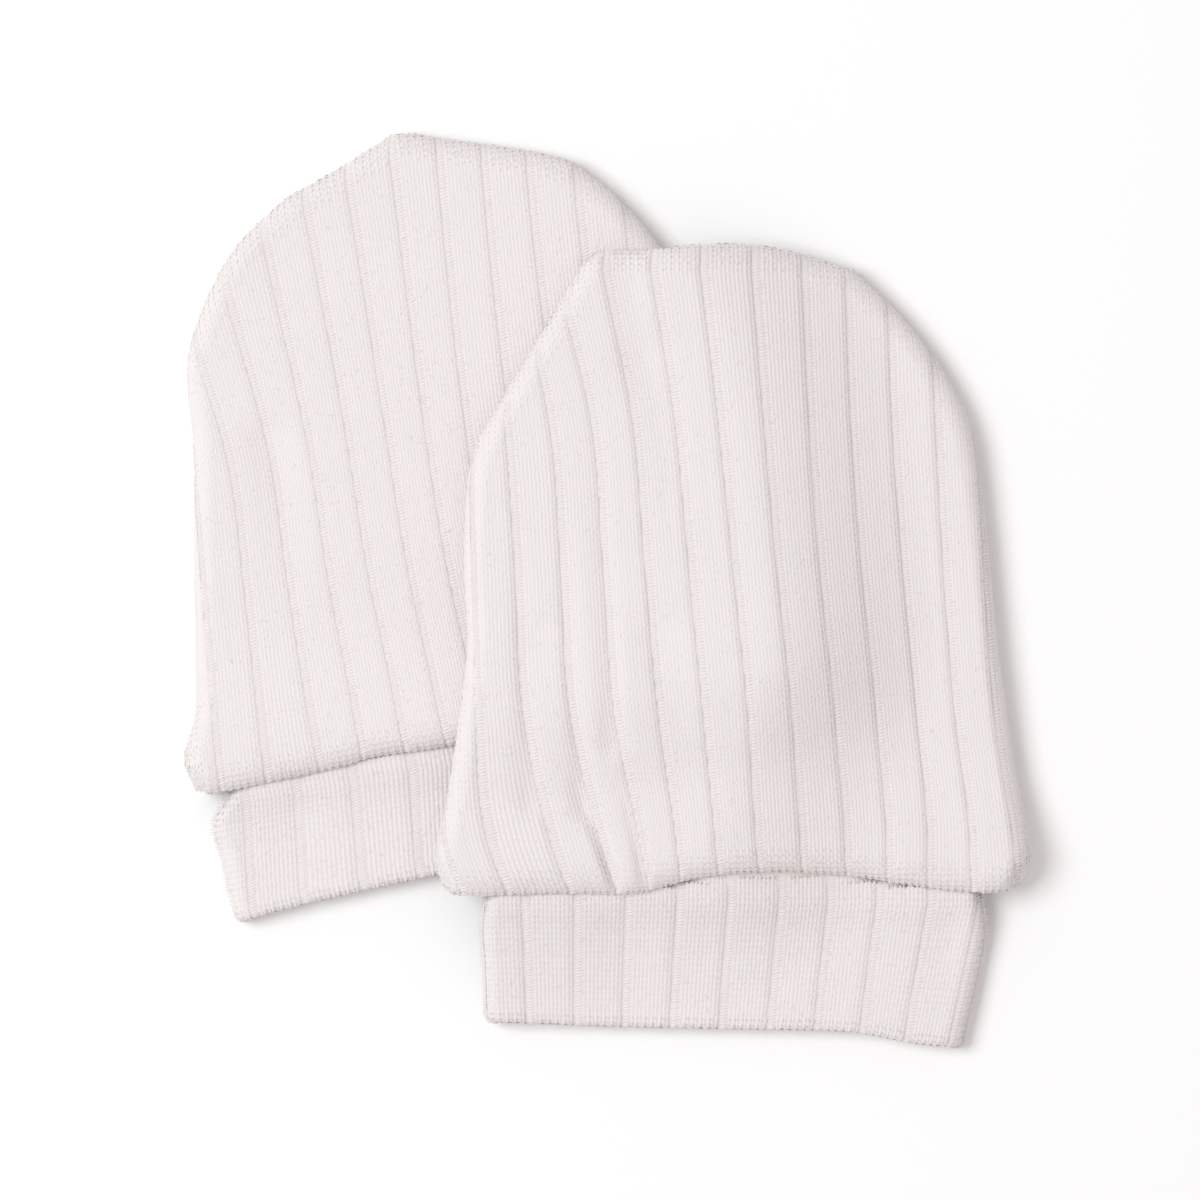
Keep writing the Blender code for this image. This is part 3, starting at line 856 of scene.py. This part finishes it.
for side, mitten, ribs in (("lower", LOWER, LOWER_CUFF_RIBS), ("upper", UPPER, UPPER_CUFF_RIBS)):
    node = f"{side}_cuff"
    pieces[node] = cuff(f"{node}_cloth", mitten, ribs, cotton(f"{node}_cotton", 0.05))

# %% [markdown]
# ## Stitches by Geometry Nodes
#
# A knit stitch shows as a V: two short legs of yarn that lean apart. The script works out where
# every leg lies and which way it points, and stores that on loose points. A Geometry Nodes tree
# then puts one small spindle of yarn on each point, turned to follow the cloth. The spindle has
# only six faces, because there are thousands of them. It is shaded flat, as smooth shading on so
# few faces would draw false dark stripes. A bump in the material could show stitches too, but they
# would be missing from the outline and from the mesh.

# %% The tree that lays yarn
def yarn_tree(name):
    tree = bpy.data.node_groups.new(name, "GeometryNodeTree")
    face = tree.interface
    face.new_socket("Geometry", in_out="INPUT", socket_type="NodeSocketGeometry")
    for label, value in (("Leg length", 0.0009), ("Leg width", 0.0004), ("Leg thickness", 0.0003),
                         ("Unevenness", 0.12)):
        socket = face.new_socket(label, in_out="INPUT", socket_type="NodeSocketFloat")
        socket.default_value = value
    face.new_socket("Seed", in_out="INPUT", socket_type="NodeSocketInt").default_value = 1
    face.new_socket("Yarn", in_out="INPUT", socket_type="NodeSocketMaterial")
    face.new_socket("Geometry", in_out="OUTPUT", socket_type="NodeSocketGeometry")
    nodes, link = tree.nodes, tree.links.new
    given, made = nodes.new("NodeGroupInput"), nodes.new("NodeGroupOutput")

    def stored(label):
        node = nodes.new("GeometryNodeInputNamedAttribute")
        node.data_type = "FLOAT_VECTOR"
        node.inputs["Name"].default_value = label
        return node.outputs["Attribute"]

    spindle = nodes.new("GeometryNodeMeshUVSphere")
    spindle.inputs["Segments"].default_value = 3
    spindle.inputs["Rings"].default_value = 2
    spindle.inputs["Radius"].default_value = 0.5
    sizes = nodes.new("ShaderNodeCombineXYZ")
    link(given.outputs["Leg thickness"], sizes.inputs["X"])
    link(given.outputs["Leg width"], sizes.inputs["Y"])
    link(given.outputs["Leg length"], sizes.inputs["Z"])
    shaped = nodes.new("GeometryNodeTransform")
    link(spindle.outputs["Mesh"], shaped.inputs["Geometry"])
    link(sizes.outputs["Vector"], shaped.inputs["Scale"])
    lengthways = nodes.new("FunctionNodeAlignRotationToVector")
    lengthways.axis = "Z"
    link(stored("leg_along"), lengthways.inputs["Vector"])
    upright = nodes.new("FunctionNodeAlignRotationToVector")
    upright.axis, upright.pivot_axis = "X", "Z"
    link(lengthways.outputs["Rotation"], upright.inputs["Rotation"])
    link(stored("leg_up"), upright.inputs["Vector"])
    uneven = nodes.new("FunctionNodeRandomValue")
    uneven.data_type = "FLOAT"
    low, high = nodes.new("ShaderNodeMath"), nodes.new("ShaderNodeMath")
    low.operation, high.operation = "SUBTRACT", "ADD"
    for node, socket in ((low, 2), (high, 3)):
        node.inputs[0].default_value = 1
        link(given.outputs["Unevenness"], node.inputs[1])
        link(node.outputs["Value"], uneven.inputs[socket])
    link(given.outputs["Seed"], uneven.inputs["Seed"])
    lay = nodes.new("GeometryNodeInstanceOnPoints")
    link(given.outputs["Geometry"], lay.inputs["Points"])
    link(shaped.outputs["Geometry"], lay.inputs["Instance"])
    link(upright.outputs["Rotation"], lay.inputs["Rotation"])
    link(uneven.outputs[1], lay.inputs["Scale"])
    real, dyed = nodes.new("GeometryNodeRealizeInstances"), nodes.new("GeometryNodeSetMaterial")
    link(lay.outputs["Instances"], real.inputs["Geometry"])
    link(real.outputs["Geometry"], dyed.inputs["Geometry"])
    link(given.outputs["Yarn"], dyed.inputs["Material"])
    link(dyed.outputs["Geometry"], made.inputs["Geometry"])
    return tree


YARN_TREE = yarn_tree("lay yarn on cloth")
print("Tree inputs:", ", ".join(s.name for s in YARN_TREE.interface.items_tree if s.in_out == "INPUT"))

# %% A piece of laid yarn


def lay_yarn(name, points, along, up, sizes, seed, material):
    """Runs the tree on these points and keeps the result as a plain mesh."""
    mesh = bpy.data.meshes.new(name)
    mesh.from_pydata((points * MM).tolist(), [], [])
    for label, vectors in (("leg_along", along), ("leg_up", up)):
        attribute = mesh.attributes.new(label, "FLOAT_VECTOR", "POINT")
        attribute.data.foreach_set("vector", np.ascontiguousarray(vectors, np.float32).ravel())
    holder = bpy.data.objects.new(name + "_points", mesh)
    scene.collection.objects.link(holder)
    modifier = holder.modifiers.new("yarn", "NODES")
    modifier.node_group = YARN_TREE
    inputs = {s.name: s.identifier for s in YARN_TREE.interface.items_tree if s.in_out == "INPUT"}
    for label, value in sizes.items():
        modifier[inputs[label]] = value
    modifier[inputs["Seed"]] = seed
    modifier[inputs["Yarn"]] = material
    graph = bpy.context.evaluated_depsgraph_get()
    laid = bpy.data.meshes.new_from_object(holder.evaluated_get(graph), depsgraph=graph)
    laid.name = name
    laid.shade_flat()
    holder.modifiers.remove(modifier)
    bpy.data.objects.remove(holder, do_unlink=True)
    made = bpy.data.objects.new(name, laid)
    scene.collection.objects.link(made)
    print(name, len(points), "spindles,", len(laid.polygons), "faces")
    return made


# %% [markdown]
# ## Where the stitches lie
#
# A stitch is found by its rib's number and its level on the unrolled cloth, which gives even
# stitches everywhere. The surface says where that is. Small steps to each side of it give the ways
# across, along and up there, by which the spindle is turned.

# %% Stitch places on a panel
def panel_surface(mitten, back):
    def surface(across, along, rib):
        x, y, run = drawn_in(mitten, across, along)
        press = relief(mitten, rib) if back else -PALM_RIBS * np.minimum(relief(mitten, rib), 0)
        z = body_heights(mitten, x, y, back) + press * edge_share(mitten, x, y)
        return np.stack((x, y, z + ground(mitten, x, y)), -1), run

    return surface


def cuff_surface(mitten, top):
    def surface(across, along, rib):
        row, depth, reach = round_fold(along)
        press = relief(mitten, rib) * CUFF_RIBS
        return cuff_frame(mitten, across, row, depth - press, reach, top), np.full_like(across, np.inf)

    return surface


def directions(surface, ribs, rib, along, outward):
    """Where each point of the rib lattice lies, with the ways across, along and up there."""
    place = lambda r, v: surface(rib_across(ribs, r, v), v, r)[0]
    step_r, step_v = 0.03, 0.2
    centre, run = surface(rib_across(ribs, rib, along), along, rib)
    across = place(rib + step_r, along) - place(rib - step_r, along)
    length = place(rib, along + step_v) - place(rib, along - step_v)
    unit = lambda a: a / np.maximum(np.linalg.norm(a, axis=-1, keepdims=True), 1e-9)
    across, length = unit(across), unit(length)
    up = unit(np.cross(across, length)) * outward
    return centre, across, length, up, run


print("Stitches lie", COURSE, "mm apart along a wale")

# %% [markdown]
# ## Knitting
#
# Each rib gets its wales, and each wale its courses. Half of the legs lean left and half right.
# The ladder gets two short bars for each course, and a few loose fibre ends make the nap. The
# underside is knitted only where it rolls up into view. Where cloth lies on the floor, or under
# the other mitten, the shell alone is enough.

# %% Knit every piece
LEG_LEAN = math.radians(11)
LEG_OVERLAP = 2.1
BAR_LEAN = math.radians(12)
STITCH_SIZES = {"Leg width": 0.9 * MM, "Leg thickness": 0.14 * MM, "Unevenness": 0.1}
STITCH_LIFT = 0.03
STITCH_WANDER = 0.06
BAR_SIZES = {
    "Leg length": 1.3 * MM, "Leg width": 0.42 * MM, "Leg thickness": 0.2 * MM, "Unevenness": 0.3
}
BARS_TO_A_COURSE, BAR_PLACE = 2, 0.55
BAR_LIFT = 0.03
NAP_SIZES = {
    "Leg length": 1.1 * MM, "Leg width": 0.026 * MM, "Leg thickness": 0.026 * MM, "Unevenness": 0.5
}
NAP_TILT = (math.radians(5), math.radians(40))
NAP_ON_BACK, NAP_ON_CUFF, NAP_ROOT = 4500, 2200, 0.4
SEAM_CLEAR, NAP_CLEAR = 0.15, 0.05
OFF_THE_FLOOR = 0.8
CLEAR_OF_FLOOR = 0.02
HIDDEN_BEYOND = 3.0
BODY_LEVELS, CUFF_LEVELS = (-4.0, 92.0), (FOLD_EDGE - 2.4, 3.6)


def leg_places():
    """Each leg's share of the way from one groove to the next, two legs to a wale."""
    return LADDER_SHARE + (np.arange(2 * WALES) + 0.5) * (1 - LADDER_SHARE) / (2 * WALES)


def lattice(ribs, shares, low, high, course):
    """Rib number, along and side of its wale for every stitch leg, course by course."""
    numbers = np.arange(ribs[0][1], ribs[0][-1])
    rib = (numbers[:, None] + np.array(shares)[None]).ravel()
    side = np.tile(np.where(np.arange(len(shares)) % 2, 1, -1), len(numbers))
    courses = np.arange(low, high, course)
    return np.repeat(rib, len(courses)), np.tile(courses, len(rib)), np.repeat(side, len(courses))


def knit(name, surface, ribs, low, high, course, outward, keep, seed, material):
    rib, along, side = lattice(ribs, leg_places(), low, high, course)
    centre, across, length, up, run = directions(surface, ribs, rib, along, outward)
    kept = (run > SEAM_CLEAR) & keep(centre, rib, along, run)
    centre, across, length, up, side = (a[kept] for a in (centre, across, length, up, side))
    ways = length * math.cos(LEG_LEAN) + across * side[:, None] * math.sin(LEG_LEAN)
    wander = np.random.default_rng(seed).normal(0, STITCH_WANDER, (len(centre), 1))
    centre = centre + length * wander + up * STITCH_LIFT
    sizes = {**STITCH_SIZES, "Leg length": LEG_OVERLAP * course * MM}
    return lay_yarn(name, centre, ways, up, sizes, seed, material)


def bars(name, surface, ribs, low, high, course, outward, keep, seed, material):
    """The short bars of yarn that cross the ladders."""
    rib, along, _ = lattice(ribs, [LADDER_SHARE * BAR_PLACE], low, high, course / BARS_TO_A_COURSE)
    centre, across, length, up, run = directions(surface, ribs, rib, along, outward)
    kept = (run > SEAM_CLEAR) & keep(centre, rib, along, run)
    centre, across, length, up = (a[kept] for a in (centre, across, length, up))
    ways = across * math.cos(BAR_LEAN) + length * math.sin(BAR_LEAN)
    return lay_yarn(name, centre + up * BAR_LIFT, ways, up, BAR_SIZES, seed, material)


def in_pair(mitten, made):
    """Moves a piece from its mitten's own frame to its place in the pair, none of it below the floor."""
    count = len(made.data.vertices)
    points = np.empty(count * 3, np.float32)
    made.data.vertices.foreach_get("co", points)
    points = points.reshape(-1, 3).astype(float)
    x, y = placed(mitten, points[:, 0] / MM, points[:, 1] / MM)
    z = np.maximum(points[:, 2], CLEAR_OF_FLOOR * MM)
    made.data.vertices.foreach_set("co", np.column_stack((x * MM, y * MM, z)).ravel())
    made.data.update()
    return made


def covered(centre):
    """Whether a point of the lower mitten is well under the upper one."""
    u, v = unplaced(UPPER, *placed(LOWER, centre[:, 0], centre[:, 1]))
    ring = whole_outline(UPPER)
    return inside(u, v, ring) & (distance(u, v, np.vstack((ring, ring[:1]))) > HIDDEN_BEYOND)


def nap(name, surface, ribs, low, high, count, outward, keep, seed, material):
    """Loose fibre ends that stand a little off the cloth, here and there."""
    chance = np.random.default_rng(seed)
    rib = chance.uniform(ribs[0][1], ribs[0][-1] - 0.001, count)
    along = chance.uniform(low, high, count)
    centre, across, length, up, run = directions(surface, ribs, rib, along, outward)
    kept = (run > NAP_CLEAR) & keep(centre, rib, along, run)
    turn, tilt = chance.uniform(0, 2 * math.pi, count), chance.uniform(*NAP_TILT, count)
    flat = across * np.cos(turn)[:, None] + length * np.sin(turn)[:, None]
    ways = flat * np.cos(tilt)[:, None] + up * np.sin(tilt)[:, None]
    root = centre + ways * NAP_SIZES["Leg length"] / MM * NAP_ROOT
    return lay_yarn(name, root[kept], ways[kept], up[kept], NAP_SIZES, seed, material)


def knit_piece(node, mitten, surface, ribs, low, high, course, outward, keep, seed, fibres):
    """The stitches, ladder bars and nap of one face of cloth, turned to their place."""
    dyed = yarn(f"{node}_yarn")
    made = [
        knit(f"{node}_stitches", surface, ribs, low, high, course, outward, keep, seed, dyed),
        bars(f"{node}_ladders", surface, ribs, low, high, course, outward, keep, seed + 1, dyed),
    ]
    if fibres:
        made.append(nap(f"{node}_nap", surface, ribs, low, high, fibres, outward, keep, seed + 2, dyed))
    return [in_pair(mitten, piece) for piece in made]


stitches = {}
for side, mitten, ribs, cuff_ribs in (
    ("lower", LOWER, LOWER_RIBS, LOWER_CUFF_RIBS),
    ("upper", UPPER, UPPER_RIBS, UPPER_CUFF_RIBS),
):
    hidden = covered if mitten is LOWER else (lambda centre: np.zeros(len(centre), bool))
    seed = 10 if mitten is LOWER else 40

    def shown(centre, rib, along, run, hidden=hidden):
        return ~hidden(centre)

    def rolled(centre, rib, along, run, hidden=hidden, mitten=mitten):
        """The rolled sides of the underside, and nothing where the cloth lies flat."""
        off = centre[:, 2] - ground(mitten, centre[:, 0], centre[:, 1])
        return ~hidden(centre) & (off > OFF_THE_FLOOR)

    back, palm = (panel_surface(mitten, face) for face in (True, False))
    over, under = (cuff_surface(mitten, face) for face in (True, False))
    body, band = (ribs, *BODY_LEVELS, COURSE), (cuff_ribs, *CUFF_LEVELS, CUFF_COURSE)
    stitches[f"{side}_back"] = knit_piece(
        f"{side}_back", mitten, back, *body, 1, shown, seed, NAP_ON_BACK
    )
    stitches[f"{side}_palm"] = knit_piece(f"{side}_palm", mitten, palm, *body, -1, rolled, seed + 5, 0)
    stitches[f"{side}_cuff"] = knit_piece(
        f"{side}_cuff", mitten, over, *band, 1, shown, seed + 10, NAP_ON_CUFF
    ) + knit_piece(f"{side}_cuff_under", mitten, under, *band, -1, rolled, seed + 15, 0)

# %% [markdown]
# ## Seams
#
# Back and palm are sewn with their outsides together and then turned out. So no thread shows at the
# seam: two rolled edges meet, and the turned-in allowance lies just behind them. A slim strip of the
# same cloth stands for that allowance, and closes the line between the panels.

# %% The allowance behind each seam
SEAM_SETBACK, SEAM_DEPTH, SEAM_TUCK = 0.12, 0.9, 0.03
CUFF_ENDS = 0.02


def seam(name, mitten, material):
    """A closed strip that runs from the cuff's one end round the mitten's tip to its other end."""
    left, tip, right, hem = (curve(mitten[k]) for k in ("left", "tip", "right", "hem"))
    free = hem[over_cuff(mitten, hem[:, 0]) < CUFF_ENDS]
    start, end = (free[(free[:, 0] < 0) == is_left][::-1] for is_left in (True, False))
    path = np.vstack((start, left[1:], tip[1:], right[::-1][1:], end[1:]))
    ways = np.gradient(path, axis=0)
    inward = np.column_stack((ways[:, 1], -ways[:, 0]))
    inward /= np.maximum(np.linalg.norm(inward, axis=1, keepdims=True), 1e-9)
    low, high = (body_heights(mitten, *path.T, face) for face in (False, True))
    low, high = low - SEAM_TUCK, high + SEAM_TUCK
    rise = ground(mitten, *path.T)
    near, far = path + inward * SEAM_SETBACK, path + inward * SEAM_DEPTH
    rows = [np.column_stack((place, level + rise)) for place, level in
            ((near, low), (near, high), (far, high), (far, low))]
    numbers = np.arange(4 * len(path)).reshape(len(path), 4)
    down, over = numbers[1:], np.roll(numbers, -1, axis=1)
    faces = np.stack((numbers[:-1], over[:-1], over[1:], down), -1).reshape(-1, 4).tolist()
    faces += [numbers[0][::-1].tolist(), numbers[-1].tolist()]
    made = add_mesh(name, np.stack(rows, 1).reshape(-1, 3) * MM, faces, material)
    print(name, round(float(np.linalg.norm(np.diff(path, axis=0), axis=1).sum())), "mm long")
    return in_pair(mitten, made)


for side, mitten in (("lower", LOWER), ("upper", UPPER)):
    stitches[f"{side}_back"].append(seam(f"{side}_back_seam", mitten, yarn(f"{side}_seam_yarn")))

# %% [markdown]
# ## Hand over
#
# Every piece rides on the one body and stands for its CAD solid, which is hidden. The table lists each
# panel's and cuff's cut: its flat size, its area and what it rests on. Stitches, ladders, nap and seam
# ride on the same body as the cloth that they are part of.

# %% Ride and replace
# node: width and length of the cut, area of the cut, what it rests on
CUTS = {
    "lower_palm": ((0.081, 0.086), 0.0058, ["floor"]),
    "lower_back": ((0.081, 0.086), 0.0060, ["lower_palm_cloth", "lower_cuff_cloth"]),
    "lower_cuff": ((0.138, 0.028), None, ["floor"]),
    "upper_palm": ((0.082, 0.090), 0.0062, ["lower_back_cloth", "floor"]),
    "upper_back": ((0.082, 0.090), 0.0064, ["upper_palm_cloth", "upper_cuff_cloth"]),
    "upper_cuff": ((0.138, 0.029), None, ["lower_cuff_cloth", "floor"]),
}
for node, (flat, area, rests_on) in CUTS.items():
    cloth = pieces[node]
    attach(cloth, "root")
    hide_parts(node)
    goes_with = stitches.get(node, [])
    for piece in goes_with:
        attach(piece, "root")

# %% Size of the scene
triangles = 0
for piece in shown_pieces():
    piece.data.calc_loop_triangles()
    triangles += len(piece.data.loop_triangles)
print("Triangles in all:", triangles)
